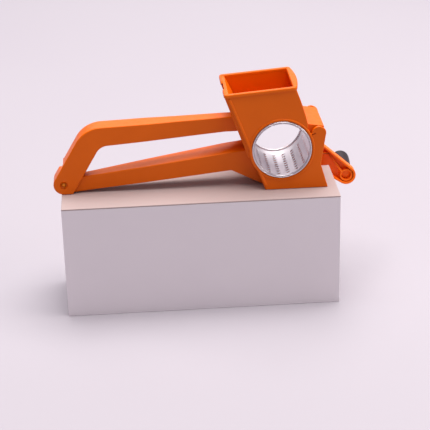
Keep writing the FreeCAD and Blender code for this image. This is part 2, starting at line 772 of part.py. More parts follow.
def drum_near_rim():
    """The rolled rim at the open end, the bearing in the near side plate."""
    return ring("drum_near_rim", "drum_rim_radius", "drum_shell_radius", "drum_near_y",
                "drum_near_overhang + wall + drum_rim_width / 2")


def drum_far_rim():
    """The inward curl at the crank end."""
    inner = "drum_shell_radius - drum_sheet"
    return ring("drum_far_rim", inner, inner + " - drum_curl",
                "drum_far_y - drum_rim_width", "drum_rim_width")


def crank_hub():
    """The ring of the crank: a collar that runs in the far side plate, and a flange with an end lip."""
    collar = disc("hub_collar", "drum_rim_radius", "drum_x", "drum_z",
                  "half_depth - collar_reach", "collar_reach + hub_gap + wall")
    flange = disc("hub_flange", "hub_radius", "drum_x", "drum_z", "hub_y", "hub_length")
    bore = disc("hub_bore_hole", "hub_bore", "drum_x", "drum_z",
                "half_depth - collar_reach", "drum_far_overhang + collar_reach")
    mouth = disc("hub_mouth", "hub_mouth_radius", "drum_x", "drum_z",
                 "half_depth", "hub_length + hub_gap")
    return cut("crank_hub", fuse("hub_whole", collar, flange), bore, mouth)


def swing(item, low_y):
    """Turn a piece drawn along +X from the drum axis to the crank's rest angle."""
    item.Placement = FreeCAD.Placement(
        FreeCAD.Vector(), FreeCAD.Rotation(FreeCAD.Vector(0, 1, 0), size("crank_angle"))
    )
    bind(item, "Placement.Rotation.Angle", "crank_angle")
    place(item, "drum_x", low_y, "drum_z")
    return item


def crank_slab(name, points, low_y, length):
    """A slab drawn in the crank's own frame and swung to the rest angle."""
    return swing(side_slab(name, points, "0", length), low_y)


def crank_arm():
    """The crank's tapering arm, hollow on the side that faces the body, with a rim all round."""
    outline = crank_slab("crank_outline", [
        ("hub_radius / 2", "crank_root_half"),
        ("crank_radius", "crank_tip_radius"),
        ("crank_radius", "-crank_tip_radius"),
        ("hub_radius / 2", "-crank_root_half"),
    ], "crank_y", "crank_depth")
    tip = disc("crank_tip", "crank_tip_radius", "crank_x", "crank_z", "crank_y", "crank_depth")
    hollow = crank_slab("crank_hollow", [
        ("hub_radius + crank_rib", "crank_root_half - crank_rib * 1.3"),
        ("crank_radius", "crank_tip_radius - crank_rib"),
        ("crank_radius", "crank_rib - crank_tip_radius"),
        ("hub_radius + crank_rib", "crank_rib * 1.3 - crank_root_half"),
    ], "crank_y", "crank_depth - crank_floor")
    tip_hollow = disc("crank_tip_hollow", "crank_tip_radius - crank_rib", "crank_x", "crank_z",
                      "crank_y", "crank_depth - crank_floor")
    hub = disc("crank_hub_space", "hub_radius", "drum_x", "drum_z", "half_depth", "hub_length * 2")
    bore = disc("crank_spindle_hole", "spindle_radius", "crank_x", "crank_z", "half_depth", "hub_length * 2")
    return cut("crank_arm", fuse("crank_whole", outline, tip), hollow, tip_hollow, hub, bore)


def crank_boss():
    """The tube round the spindle in the tip of the crank."""
    return ring("crank_boss", "boss_tube_radius", "spindle_head_radius + running_gap * 2",
                "crank_y + crank_near_step", "crank_depth - crank_floor - crank_near_step",
                "crank_x", "crank_z")


def crank_ribs():
    """Two slanted ribs that stiffen the hollow of the crank."""
    start = "hub_radius + crank_rib"
    finish = "crank_radius - boss_tube_radius"
    middle = "(hub_radius + crank_radius) / 2"
    rise = "(crank_root_half + crank_tip_radius) / 2 - crank_rib * 1.8"
    depth = "crank_depth - crank_floor - crank_near_step"
    first = crank_slab("rib_first", [
        (start, "crank_rib * 2 - crank_root_half"),
        (start + " + crank_rib", "crank_rib * 2 - crank_root_half"),
        (middle, rise),
        (middle + " - crank_rib", rise),
    ], "crank_y + crank_near_step", depth)
    second = crank_slab("rib_second", [
        (middle + " - crank_rib", rise),
        (finish + " + crank_rib / 2", "-crank_rib / 2"),
        (finish + " + crank_rib / 2", "crank_rib / 2"),
        (middle, rise),
    ], "crank_y + crank_near_step", depth)
    tube = disc("rib_tube_space", "boss_tube_radius", "crank_x", "crank_z", "half_depth", "hub_length * 2")
    return cut("crank_ribs", fuse("rib_pair", first, second), tube)


def knob_spindle():
    """The moulded spindle that the knob turns on, with its head in the boss."""
    head_y = "hub_end_y - crank_floor - spindle_head"
    head = disc("spindle_button", "spindle_head_radius", "crank_x", "crank_z", head_y, "spindle_head")
    shank = disc("spindle_shank", "spindle_radius", "crank_x", "crank_z",
                 head_y + " + spindle_head / 2",
                 "spindle_head / 2 + crank_floor + knob_gap + knob_length - cap_recess")
    return fuse("knob_spindle", head, shank)


def knob_grip():
    """The flared knob."""
    flare = "knob_length - knob_dome"
    body = taper("knob_flare", "knob_neck_radius", "knob_end_radius", "crank_x", "crank_z", "knob_y", flare)
    dome = taper("knob_shoulder", "knob_end_radius", "knob_neck_radius", "crank_x", "crank_z",
                 "knob_y + " + flare, "knob_dome")
    bore = disc("knob_bore", "spindle_radius + pin_gap", "crank_x", "crank_z", "knob_y", "knob_length")
    return cut("knob_grip", fuse("knob_whole", body, dome), bore)


def knob_cap():
    """The small button that closes the end of the knob."""
    return disc("knob_cap", "spindle_radius + pin_gap", "crank_x", "crank_z",
                "knob_y + knob_length - cap_recess + pin_gap", "cap_recess - pin_gap")


NODES = [
    side_plate("near_side_plate", "-half_depth"),
    side_plate("far_side_plate", "inner_half"),
    hopper_left_wall(),
    hopper_right_wall(),
    hopper_rim(),
    chute_roof(),
    chute_cheek("chute_near_cheek", "-roof_half"),
    chute_cheek("chute_far_cheek", "roof_half - cheek"),
    chute_apron(),
    drum_trough(),
    foot_plate(),
    lower_arm(),
    pivot_pin(),
    upper_arm(),
    presser_foot(),
    presser_shield(),
    presser_fin(),
    drum_shell(),
    drum_near_rim(),
    drum_far_rim(),
    crank_hub(),
    crank_arm(),
    crank_boss(),
    crank_ribs(),
    knob_spindle(),
    knob_grip(),
    knob_cap(),
]

DOC.recompute()
for item in DOC.Objects:
    if "Invalid" in item.State or "Error" in item.State:
        raise RuntimeError("%s did not build" % item.Label)
os.makedirs("parts", exist_ok=True)
for node in NODES:
    if node.Shape.isNull() or not node.Shape.isValid():
        raise RuntimeError("%s has no sound shape" % node.Label)
    node.Shape.exportStep("parts/%s.step" % node.Label)
    print(node.Label, len(node.Shape.Solids), round(node.Shape.Volume, 1))
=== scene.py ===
import math

import bmesh
import bpy
import numpy as np
from mathutils import Matrix, Vector
from mathutils.bvhtree import BVHTree


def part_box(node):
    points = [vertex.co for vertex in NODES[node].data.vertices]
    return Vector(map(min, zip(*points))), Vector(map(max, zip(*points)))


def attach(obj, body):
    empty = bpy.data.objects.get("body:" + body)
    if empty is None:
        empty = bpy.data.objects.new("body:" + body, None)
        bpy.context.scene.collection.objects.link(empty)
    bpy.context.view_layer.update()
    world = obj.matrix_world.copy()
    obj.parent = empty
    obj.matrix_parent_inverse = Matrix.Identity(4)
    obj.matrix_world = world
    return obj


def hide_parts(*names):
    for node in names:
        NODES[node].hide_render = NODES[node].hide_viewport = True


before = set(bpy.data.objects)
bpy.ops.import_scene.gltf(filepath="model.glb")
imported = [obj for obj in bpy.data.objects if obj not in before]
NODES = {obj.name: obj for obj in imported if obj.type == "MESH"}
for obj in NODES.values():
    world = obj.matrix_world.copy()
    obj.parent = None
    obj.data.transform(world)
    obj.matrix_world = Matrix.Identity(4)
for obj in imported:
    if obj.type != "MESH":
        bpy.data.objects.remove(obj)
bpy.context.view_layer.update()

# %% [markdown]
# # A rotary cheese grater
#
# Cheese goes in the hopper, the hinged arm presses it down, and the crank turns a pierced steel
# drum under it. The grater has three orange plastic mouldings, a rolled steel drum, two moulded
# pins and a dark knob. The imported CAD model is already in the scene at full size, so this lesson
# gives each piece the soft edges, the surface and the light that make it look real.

MM = 0.001


def box_mm(node):
    """The lowest and highest corners of a CAD node at rest, in millimetres."""
    return [np.array(corner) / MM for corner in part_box(node)]


# %% [markdown]
# Every colour below is written as the hex value that a paint program shows. Blender works in
# linear light, so one function turns each channel from sRGB to linear: the value over 12.92
# for dark tones, and ((value + 0.055) / 1.055) to the power 2.4 for the rest. The nodes of a
# material could be placed by hand in the editor. Here one function adds a node with its settings
# and links, and another starts a material, so that each finish reads as a short recipe.

# %% Colours and helpers for materials
def linear(hex_colour):
    """sRGB hex to linear RGBA: c / 12.92 below 0.04045, else ((c + 0.055) / 1.055) ^ 2.4."""
    channels = [int(hex_colour[i:i + 2], 16) / 255 for i in (1, 3, 5)]
    return tuple(c / 12.92 if c <= 0.04045 else ((c + 0.055) / 1.055) ** 2.4 for c in channels) + (1.0,)


def add_node(tree, kind, settings=None, values=None, links=None):
    """Add one node, set its properties and socket values, and link its inputs to other sockets."""
    node = tree.nodes.new(kind)
    for name, value in (settings or {}).items():
        setattr(node, name, value)
    for name, value in (values or {}).items():
        node.inputs[name].default_value = value
    for name, socket in (links or {}).items():
        tree.links.new(socket, node.inputs[name])
    return node


def new_material(name):
    """A material, its node tree, its Principled shader, and the Object coordinates of a point."""
    material = bpy.data.materials.new(name)
    material.use_nodes = True
    tree = material.node_tree
    place = add_node(tree, "ShaderNodeTexCoord").outputs["Object"]
    return material, tree, tree.nodes["Principled BSDF"], place


print("mid grey #808080 is", round(linear("#808080")[0], 3), "in linear light")

# %% [markdown]
# ABS is the usual plastic for kitchen mouldings of this kind. It leaves the tool with a satin
# gloss, its colour is mixed right through, and close up the gloss wavers a little where the
# plastic cooled at different speeds. An image could hold that, but noise in Object coordinates
# needs no unwrapping and has the same scale on every piece. Cloudy noise about 30 mm across
# shifts the colour slightly, finer noise changes the roughness, and a shallow bump gives the
# faint ripple of a moulded wall.

# %% Moulded plastic
CLOUD_SIZE, RIPPLE_SIZE = 30 * MM, 4 * MM
RIPPLE_DEPTH, RIPPLE_STRENGTH = 0.05 * MM, 0.25
NOISE_LOW, NOISE_HIGH = 0.3, 0.7  # most values of the noise lie between these
ABS_GLOSSIER, ABS_DULLER = 0.04, 0.05
ABS_IOR, ABS_SPECULAR = 1.53, 0.16


def moulded_plastic(name, colour, deep, roughness):
    """Satin moulded plastic: two close shades in a 30 mm cloud, and a 4 mm ripple in the gloss."""
    material, tree, shader, place = new_material(name)
    cloud = add_node(
        tree, "ShaderNodeTexNoise", values={"Scale": 1 / CLOUD_SIZE, "Detail": 3.0},
        links={"Vector": place},
    )
    fine = add_node(
        tree, "ShaderNodeTexNoise", values={"Scale": 1 / RIPPLE_SIZE, "Detail": 2.0},
        links={"Vector": place},
    )
    shade = add_node(tree, "ShaderNodeValToRGB", links={"Fac": cloud.outputs["Fac"]})
    for stop, at, tone in zip(shade.color_ramp.elements, (NOISE_LOW, NOISE_HIGH), (deep, colour)):
        stop.position = at
        stop.color = linear(tone)
    gloss = add_node(
        tree, "ShaderNodeMapRange",
        values={"From Min": NOISE_LOW, "From Max": NOISE_HIGH,
                "To Min": roughness - ABS_GLOSSIER, "To Max": roughness + ABS_DULLER},
        links={"Value": fine.outputs["Fac"]},
    )
    bump = add_node(
        tree, "ShaderNodeBump", values={"Strength": RIPPLE_STRENGTH, "Distance": RIPPLE_DEPTH},
        links={"Height": fine.outputs["Fac"]},
    )
    tree.links.new(shade.outputs["Color"], shader.inputs["Base Color"])
    tree.links.new(gloss.outputs["Result"], shader.inputs["Roughness"])
    tree.links.new(bump.outputs["Normal"], shader.inputs["Normal"])
    shader.inputs["IOR"].default_value = ABS_IOR
    shader.inputs["Specular IOR Level"].default_value = ABS_SPECULAR
    return material


body_abs = moulded_plastic("abs_orange_body", "#E36500", "#DD6100", 0.38)
arm_abs = moulded_plastic("abs_orange_arm", "#E36500", "#DD6100", 0.36)
pin_abs = moulded_plastic("abs_light_orange_pin", "#FF9A28", "#FA9020", 0.36)
# The crank's orange-red hue is its own, but its tone is set brighter than the body's. That extra
# brightness is painted light, which lifts the crank's hollow where the hub shades it.
crank_abs_painted_light = moulded_plastic("abs_orange_red_crank_painted_light", "#FF7610", "#FF6E0A", 0.34)
knob_abs = moulded_plastic("abs_dark_grey_knob", "#362E32", "#2F282C", 0.42)
print("plastics:", [plastic.name for plastic in (body_abs, arm_abs, pin_abs, crank_abs_painted_light, knob_abs)])

# %% [markdown]
# The drum is bright steel sheet. Rolling leaves very fine lines round it, which a uniform gloss
# would miss, so the roughness and a slight bump follow noise that is stretched along the
# direction of rolling. The real lines are finer than a tenth of a millimetre; they are drawn
# about 0.8 mm apart so that they show. The metal keeps its default IOR, because its colour
# already says how much it reflects.

# %% Rolled steel sheet
LINE_GAP, SMUDGE_SIZE, STRETCH = 0.8 * MM, 12 * MM, 20
LINE_DEPTH, LINE_STRENGTH = 0.02 * MM, 0.3
STEEL_GLOSSIER, STEEL_DULLER = 0.06, 0.12


def rolled_steel(name, colour, roughness):
    """Bright sheet: noise stretched 20 to 1 along X and Z, so the lines run round the Y axis."""
    material, tree, shader, place = new_material(name)
    stretch = add_node(
        tree, "ShaderNodeMapping", values={"Scale": (1 / STRETCH, 1.0, 1 / STRETCH)},
        links={"Vector": place},
    )
    lines = add_node(
        tree, "ShaderNodeTexNoise", values={"Scale": 1 / LINE_GAP, "Detail": 4.0},
        links={"Vector": stretch.outputs["Vector"]},
    )
    smudge = add_node(
        tree, "ShaderNodeTexNoise", values={"Scale": 1 / SMUDGE_SIZE, "Detail": 2.0},
        links={"Vector": place},
    )
    mix = add_node(
        tree, "ShaderNodeMath", settings={"operation": "MULTIPLY_ADD"}, values={1: 0.5},
        links={0: lines.outputs["Fac"], 2: smudge.outputs["Fac"]},
    )
    gloss = add_node(
        tree, "ShaderNodeMapRange",
        values={"From Min": 0.5, "From Max": 1.0,
                "To Min": roughness - STEEL_GLOSSIER, "To Max": roughness + STEEL_DULLER},
        links={"Value": mix.outputs["Value"]},
    )
    bump = add_node(
        tree, "ShaderNodeBump", values={"Strength": LINE_STRENGTH, "Distance": LINE_DEPTH},
        links={"Height": lines.outputs["Fac"]},
    )
    tree.links.new(gloss.outputs["Result"], shader.inputs["Roughness"])
    tree.links.new(bump.outputs["Normal"], shader.inputs["Normal"])
    shader.inputs["Base Color"].default_value = linear(colour)
    shader.inputs["Metallic"].default_value = 1.0
    return material


drum_steel = rolled_steel("steel_bright_rolled", "#F8F2F6", 0.52)
# The rim and its band are the same bright steel as the drum. Their darker colour is painted shade, so
# the front of the rim reads dark; the lower roughness is their own.
rim_steel = rolled_steel("steel_rim_painted_shade", "#CFC8CD", 0.28)
print("metals:", drum_steel.name, rim_steel.name)

# %% [markdown]
# The camera looks down on the grater from the open side of the drum, with a long lens, so that
# parallel edges stay nearly parallel. It could be aimed with a Track To constraint, but three
# turns say the same more exactly: yaw about the vertical, pitch below the horizon, and a small
# roll. Its place comes in millimetres from the middle of the foot.

# %% Camera
CAMERA_PLACE = Vector((-149.7, -1183.7, 506.8)) * MM
YAW, PITCH, ROLL = -0.0663, 0.4278, -0.0235
FOCAL_LENGTH, SENSOR_WIDTH = 120.4, 36.0
CLIP_NEAR, CLIP_FAR = 0.05, 50.0


def aimed(place, yaw, pitch, roll):
    """Matrix of a camera at place: ahead, right and up from yaw and pitch, then both turned by roll."""
    ahead = Vector((-math.sin(yaw) * math.cos(pitch), math.cos(yaw) * math.cos(pitch), -math.sin(pitch)))
    right = Vector((math.cos(yaw), math.sin(yaw), 0.0))
    above = right.cross(ahead)
    level = math.cos(roll) * right + math.sin(roll) * above
    upward = math.cos(roll) * above - math.sin(roll) * right
    turn = Matrix((level, upward, -ahead)).transposed()
    return Matrix.Translation(place) @ turn.to_4x4()


lens = bpy.data.cameras.new("camera")
lens.sensor_width = SENSOR_WIDTH
lens.lens = FOCAL_LENGTH
lens.clip_start = CLIP_NEAR
lens.clip_end = CLIP_FAR
camera = bpy.data.objects.new("camera", lens)
camera.matrix_world = aimed(CAMERA_PLACE, YAW, PITCH, ROLL)
bpy.context.collection.objects.link(camera)
scene = bpy.context.scene
scene.camera = camera
scene.view_settings.view_transform = "Standard"
print("camera", [round(v, 3) for v in camera.location])

# %% [markdown]
# Surfaces come from grids of points. A grid has rows and columns, and each quad joins four
# neighbours. Where a shape closes on itself, as a ring does, the last row or column joins the
# first. Primitives and booleans could make these shapes too, but a formula gives even faces and
# exact sizes, and one function turns any such grid into a mesh.

# %% From a grid of points to a finished piece
MERGE_WITHIN = 0.001 * MM
CREASE_DEGREES = 35


def smooth(mesh, angle):
    """Smooth shading, kept sharp where two faces meet at more than this angle in degrees."""
    mesh.shade_smooth()
    mesh.set_sharp_from_angle(angle=math.radians(angle))


def grid_piece(name, points, wrap_rows=False, wrap_columns=False, keep=None, merge=True):
    """Quads between neighbours of a grid of points; keep is a mask of the quads that stay."""
    rows, columns = points.shape[:2]
    row, column = np.meshgrid(np.arange(rows if wrap_rows else rows - 1),
                              np.arange(columns if wrap_columns else columns - 1), indexing="ij")
    next_row, next_column = (row + 1) % rows, (column + 1) % columns
    quads = np.stack([row * columns + column, next_row * columns + column,
                      next_row * columns + next_column, row * columns + next_column], axis=-1)
    quads = quads[keep] if keep is not None else quads.reshape(-1, 4)
    mesh = bpy.data.meshes.new(name)
    mesh.from_pydata(points.reshape(-1, 3).tolist(), [], quads.tolist())
    shape = bmesh.new()
    shape.from_mesh(mesh)
    if merge:
        bmesh.ops.remove_doubles(shape, verts=shape.verts, dist=MERGE_WITHIN)
        bmesh.ops.recalc_face_normals(shape, faces=shape.faces)
    loose = [vertex for vertex in shape.verts if not vertex.link_faces]
    bmesh.ops.delete(shape, geom=loose, context="VERTS")
    shape.to_mesh(mesh)
    shape.free()
    smooth(mesh, CREASE_DEGREES)
    piece = bpy.data.objects.new(name, mesh)
    bpy.context.collection.objects.link(piece)
    print(name, len(mesh.polygons), "faces")
    return piece


def turned(profile, centre, steps):
    """A profile of (radius, y) turned about the Y axis: x = cx + r cos t, z = cz + r sin t."""
    radius, along = np.asarray(profile, float).T
    turn = np.linspace(0, 2 * math.pi, steps, endpoint=False)[:, None]
    x = centre[0] + radius * np.cos(turn)
    z = centre[1] + radius * np.sin(turn)
    return np.stack([x, np.broadcast_to(along, x.shape), z], axis=-1)


def finish(piece, body, slot, material, *stands_for):
    """Paint a piece, let it ride on its body, and let it stand for CAD nodes."""
    piece.data.materials.clear()
    piece.data.materials.append(material)
    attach(piece, body)
    if stands_for:
        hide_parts(*stands_for)


# %% [markdown]
# The grater stands on a pale block with a thin board on top, so its crank can hang below the
# foot, and the block stands on a wide pale floor. The board is painted a darker tone than the
# block: painted shade, so that under the strong light from above its top comes out only a little
# brighter than the block's sides. Plain white would do, but a floor of one exact colour looks like
# empty paper. So all three are matt paint: a high roughness, with the slightest cloud in the tone.

# %% Floor and block
PAINT_ROUGHNESS = 0.85
BLOCK_LOW, BLOCK_HIGH = (-207 * MM, -48 * MM), (36 * MM, 23 * MM)
FLOOR_Z, BOARD_THICK, BLOCK_EDGE = -104 * MM, 1.2 * MM, 0.4 * MM
FLOOR_HALF, FLOOR_THICK = 4.0, 0.02


def matt_paint(name, light, dark, cloud_size):
    """Matt paint in two near shades, mixed by a cloud of the given size."""
    material, tree, shader, place = new_material(name)
    cloud = add_node(
        tree, "ShaderNodeTexNoise", values={"Scale": 1 / cloud_size, "Detail": 2.0},
        links={"Vector": place},
    )
    shade = add_node(tree, "ShaderNodeValToRGB", links={"Fac": cloud.outputs["Fac"]})
    for stop, tone in zip(shade.color_ramp.elements, (dark, light)):
        stop.color = linear(tone)
    tree.links.new(shade.outputs["Color"], shader.inputs["Base Color"])
    shader.inputs["Roughness"].default_value = PAINT_ROUGHNESS
    return material


def staged_box(name, low, high, material, edge):
    """A box between two corners, its edges rounded by a bevel, that isn't part of the object."""
    low, high = Vector(low), Vector(high)
    place = Matrix.Translation((low + high) / 2) @ Matrix.Diagonal((high - low).to_4d())
    mesh = bpy.data.meshes.new(name)
    shape = bmesh.new()
    bmesh.ops.create_cube(shape, size=1.0, matrix=place)
    shape.to_mesh(mesh)
    shape.free()
    mesh.materials.append(material)
    box = bpy.data.objects.new(name, mesh)
    bpy.context.collection.objects.link(box)
    if edge:
        bevel = box.modifiers.new("edge", "BEVEL")
        bevel.width = edge
        bevel.segments = 3
    return box


block = staged_box("pale_block", (*BLOCK_LOW, FLOOR_Z), (*BLOCK_HIGH, -BOARD_THICK),
                   matt_paint("paint_matt_block", "#E6DEE2", "#E0D8DD", 60 * MM), BLOCK_EDGE)
# The board's darker tone is painted shade, which holds its top down under the overhead light.
board = staged_box("board_painted_shade", (*BLOCK_LOW, -BOARD_THICK), (*BLOCK_HIGH, 0.0),
                   matt_paint("paint_matt_board_painted_shade", "#AC9895", "#A79390", 60 * MM), BLOCK_EDGE)
floor = staged_box("pale_floor", (-FLOOR_HALF, -FLOOR_HALF, FLOOR_Z - FLOOR_THICK),
                   (FLOOR_HALF, FLOOR_HALF, FLOOR_Z),
                   matt_paint("paint_matt_floor", "#AEA8AF", "#ABA4AC", 500 * MM), 0.0)
print("stage:", block.name, board.name, floor.name)

# %% [markdown]
# One small lamp would throw hard black shadows, so the light comes from large panels. A very
# broad one hangs overhead, so the tops and rims are far brighter than the upright faces. A second
# stands behind, low enough to be mirrored in the tops and in the floor of the drum, where it puts
# the pale sheen. A third, on the chute side, draws a fine light line down the rounded edges that
# face it. The pale lilac room fills the shadows.

# %% Soft studio light
ROOM_COLOUR, ROOM_STRENGTH = "#EFE7F3", 0.36


def panel(name, place, aim, size, watts, colour):
    """A square area light at place that faces aim, with places and size in metres."""
    light = bpy.data.lights.new(name, "AREA")
    light.size = size
    light.energy = watts
    light.color = linear(colour)[:3]
    lamp = bpy.data.objects.new(name, light)
    lamp.location = place
    lamp.rotation_euler = (Vector(aim) - Vector(place)).to_track_quat("-Z", "Y").to_euler()
    lamp.visible_camera = False
    bpy.context.collection.objects.link(lamp)


panel("light_above", (0.1, 0.3, 2.4), (-0.05, 0.1, 0.0), 2.4, 128.0, "#FFFDFB")
panel("light_behind", (-0.1, 2.6, 1.2), (-0.05, 0.0, 0.05), 2.0, 9.0, "#FFFDFF")
panel("light_right", (2.2, -0.5, 1.0), (-0.05, 0.0, 0.0), 1.2, 20.0, "#FFF8F2")
world = bpy.data.worlds.new("pale_room")
world.use_nodes = True
room = world.node_tree.nodes["Background"]
room.inputs["Color"].default_value = linear(ROOM_COLOUR)
room.inputs["Strength"].default_value = ROOM_STRENGTH
scene.world = world

# %% [markdown]
# No moulding has a truly sharp edge: the tool is cut with a small radius, and that radius is
# what catches the light along every rim. A Bevel modifier gives it, and costs less than modelling
# each fillet. It works on a copy of the CAD node, merged into whole faces. Neighbouring nodes of
# one moulding have no seam between them on the real grater, so an edge that touches such a
# neighbour is left as it is. The edges in a narrow slit are left too, because a bevel wider than
# the slit would fold over itself.

# %% Rounding the edges of the mouldings
JOIN_WITHIN, FLAT_DEGREES = 0.004 * MM, 1.0
SHARP_DEGREES, TOUCHING = 28, 0.12 * MM
EDGE_SEGMENTS = 3


def merged_copy(node):
    """A copy of a CAD node's mesh with doubled vertices joined and flat triangles made one face."""
    shape = bmesh.new()
    shape.from_mesh(node.data)
    bmesh.ops.remove_doubles(shape, verts=shape.verts, dist=JOIN_WITHIN)
    bmesh.ops.dissolve_limit(shape, angle_limit=math.radians(FLAT_DEGREES), verts=shape.verts,
                             edges=shape.edges)
    return shape


def tree_of(node):
    """A search tree of a CAD node's surface, for the distance from a point to it."""
    shape = bmesh.new()
    shape.from_mesh(node.data)
    tree = BVHTree.FromBMesh(shape)
    shape.free()
    return tree


def mark_free_edges(shape, others, tight):
    """Bevel weight 1 on each sharp edge that touches none of the others and is in no tight place."""
    weight = shape.edges.layers.float.new("bevel_weight_edge")
    for edge in shape.edges:
        if len(edge.link_faces) == 2 and edge.calc_face_angle(0.0) > math.radians(SHARP_DEGREES):
            middle = (edge.verts[0].co + edge.verts[1].co) / 2
            touches = any(tree.find_nearest(middle, TOUCHING)[0] is not None for tree in others)
            narrow = any((middle - centre).length < reach for centre, reach in tight)
            edge[weight] = 0.0 if touches or narrow else 1.0


def rounded_nodes(names, body, slot, material, radii, tight=(), beside=()):
    """Stand-ins for the nodes of one moulding, with each free sharp edge rounded.

    radii gives an edge's radius in mm by node, and "all" for the rest. tight lists places, each a
    (centre, reach), whose edges are left as they are, and beside names nodes of the same moulding
    that are made elsewhere.
    """
    trees = {name: tree_of(NODES[name]) for name in (*names, *beside)}
    for name in names:
        shape = merged_copy(NODES[name])
        mark_free_edges(shape, [tree for other, tree in trees.items() if other != name], tight)
        mesh = bpy.data.meshes.new(name + "_moulded")
        shape.to_mesh(mesh)
        shape.free()
        smooth(mesh, SHARP_DEGREES)
        piece = bpy.data.objects.new(name + "_moulded", mesh)
        bpy.context.collection.objects.link(piece)
        bevel = piece.modifiers.new("soft_edge", "BEVEL")
        bevel.limit_method = "WEIGHT"
        bevel.width = radii.get(name, radii["all"]) * MM
        bevel.segments = EDGE_SEGMENTS
        bevel.use_clamp_overlap = False
        bevel.harden_normals = True
        bevel.miter_outer = "MITER_ARC"
        finish(piece, body, slot, material, name)
        print(piece.name, len(mesh.polygons), "faces before the bevel")


# %% [markdown]
# The body is one moulding, split into nodes for the CAD model. Its side plates and lower arm have
# the broadest edges, so each radius is set by node. A slit beside the drum's hole frees an ear in
# each plate, and the crank's ring lies close round the drum, so both are tight places. The
# pressing arm and the crank are mouldings of their own, so each is rounded apart from the body.

# %% Body, pressing arm and crank
SHELL_LOW, SHELL_HIGH = box_mm("drum_shell")
DRUM_AXIS = ((SHELL_LOW[0] + SHELL_HIGH[0]) / 2, (SHELL_LOW[2] + SHELL_HIGH[2]) / 2)
SLIT_TURN, SLIT_FROM_AXIS, SLIT_REACH = math.radians(24.5), 32.0, 8.0
PLATE_MIDDLES = (-26.0, 26.0)
RING_MOUTH_Y, RING_MOUTH_REACH = 31.0, 28.0
slit = (DRUM_AXIS[0] + SLIT_FROM_AXIS * math.cos(SLIT_TURN),
        DRUM_AXIS[1] + SLIT_FROM_AXIS * math.sin(SLIT_TURN))
slits = [(Vector((slit[0], side, slit[1])) * MM, SLIT_REACH * MM) for side in PLATE_MIDDLES]
ring_mouth = [(Vector((DRUM_AXIS[0], RING_MOUTH_Y, DRUM_AXIS[1])) * MM, RING_MOUTH_REACH * MM)]
BODY = ["near_side_plate", "far_side_plate", "hopper_left_wall", "hopper_right_wall",
        "chute_roof", "chute_near_cheek", "chute_far_cheek", "chute_apron", "drum_trough",
        "foot_plate", "lower_arm"]
BODY_RADII = {"all": 0.45, "near_side_plate": 0.9, "far_side_plate": 0.9, "lower_arm": 0.9,
              "chute_roof": 0.7}
rounded_nodes(BODY, "frame", "body_orange", body_abs, BODY_RADII, tight=slits, beside=["hopper_rim"])
rounded_nodes(["upper_arm", "presser_foot", "presser_shield", "presser_fin"],
              "press_arm", "arm_orange", arm_abs, {"all": 0.4, "upper_arm": 1.1})
rounded_nodes(["crank_hub", "crank_arm", "crank_boss", "crank_ribs"],
              "crank", "crank_orange", crank_abs_painted_light, {"all": 0.45}, tight=ring_mouth)

# %% [markdown]
# A thick rolled lip runs round the mouth of the hopper, from one side of the arm's slot to the
# other. A curve with a bevel profile would give it one width, but the chute side is bowed, so the
# lip is widest there. So a path round the mouth has an inner and an outer point at each station,
# and a rectangle with rounded corners is stretched between the two. Its top corners are the
# rounder ones.

# %% Path and section of the lip
SLOT_LOW, SLOT_HIGH = -9.75, 4.55
CORNER_POINTS, CUTS = 9, 6


def mouth_path(left, right, half, radius, bow):
    """Plan points from one side of the slot round to the other.

    Each corner is its centre plus radius times (cos a, sin a) over a quarter turn. Each gap
    between points is cut in six. The right side then moves out by bow times 1 - (y / half)^2.
    """
    quarter = np.linspace(0, math.pi / 2, CORNER_POINTS)
    corners = [(left, -half, 1, 1), (right, -half, -1, 1), (right, half, -1, -1), (left, half, 1, -1)]
    runs = [[(left, SLOT_LOW)]]
    for number, (x, y, to_x, to_y) in enumerate(corners):
        turn = math.pi * (1 + number / 2) + quarter
        corner = [x + radius * (to_x + np.cos(turn)), y + radius * (to_y + np.sin(turn))]
        runs.append(np.stack(corner, axis=-1))
    path = np.concatenate(runs + [[(left, SLOT_HIGH)]])
    station = np.arange(0, len(path) - 1 + 0.5 / CUTS, 1 / CUTS)
    x = np.interp(station, np.arange(len(path)), path[:, 0])
    y = np.interp(station, np.arange(len(path)), path[:, 1])
    x = x + bow * (1 - (y / half) ** 2) * (x > (left + right) / 2)
    return np.stack([x, y], axis=-1)


def rounded_box_profile(widths, height, top_radius, low_radius, steps):
    """Across and up for each station: four quarter circles at the corners of a width by height box."""
    quarter = np.linspace(0, math.pi / 2, steps)
    radius = np.repeat([top_radius, top_radius, low_radius, low_radius], steps)
    turn = np.concatenate([quarter + k * math.pi / 2 for k in range(4)])
    right, top = np.repeat([1, 0, 0, 1], steps), np.repeat([1, 1, 0, 0], steps)
    across = radius + right * (widths[:, None] - 2 * radius) + radius * np.cos(turn)
    up = radius + top * (height - 2 * radius) + radius * np.sin(turn)
    return across, np.broadcast_to(up, across.shape)


LIP_LOW, LIP_HIGH = box_mm("hopper_rim")
LIP_THICK, LIP_BOW, LIP_CORNER = 3.0, 3.0, 2.6
MOUTH_LEFT, MOUTH_RIGHT, MOUTH_HALF, MOUTH_CORNER = -60.8, -3.1, 24.8, 0.8
inner = mouth_path(MOUTH_LEFT, MOUTH_RIGHT, MOUTH_HALF, MOUTH_CORNER, 0.0)
outer = mouth_path(LIP_LOW[0], LIP_HIGH[0] - LIP_BOW, LIP_HIGH[1], LIP_CORNER, LIP_BOW)
lip_width = np.linalg.norm(outer - inner, axis=1)
print("lip from", round(lip_width.min(), 1), "to", round(lip_width.max(), 1), "mm wide")

# %% [markdown]
# The lip follows the sloping top of the hopper, so its height rises evenly from left to right.
# A cap at each end would show a hard edge, so the section shrinks towards its own middle over
# the last 1.2 mm, as a quarter circle does, which rounds the ends off at the slot.

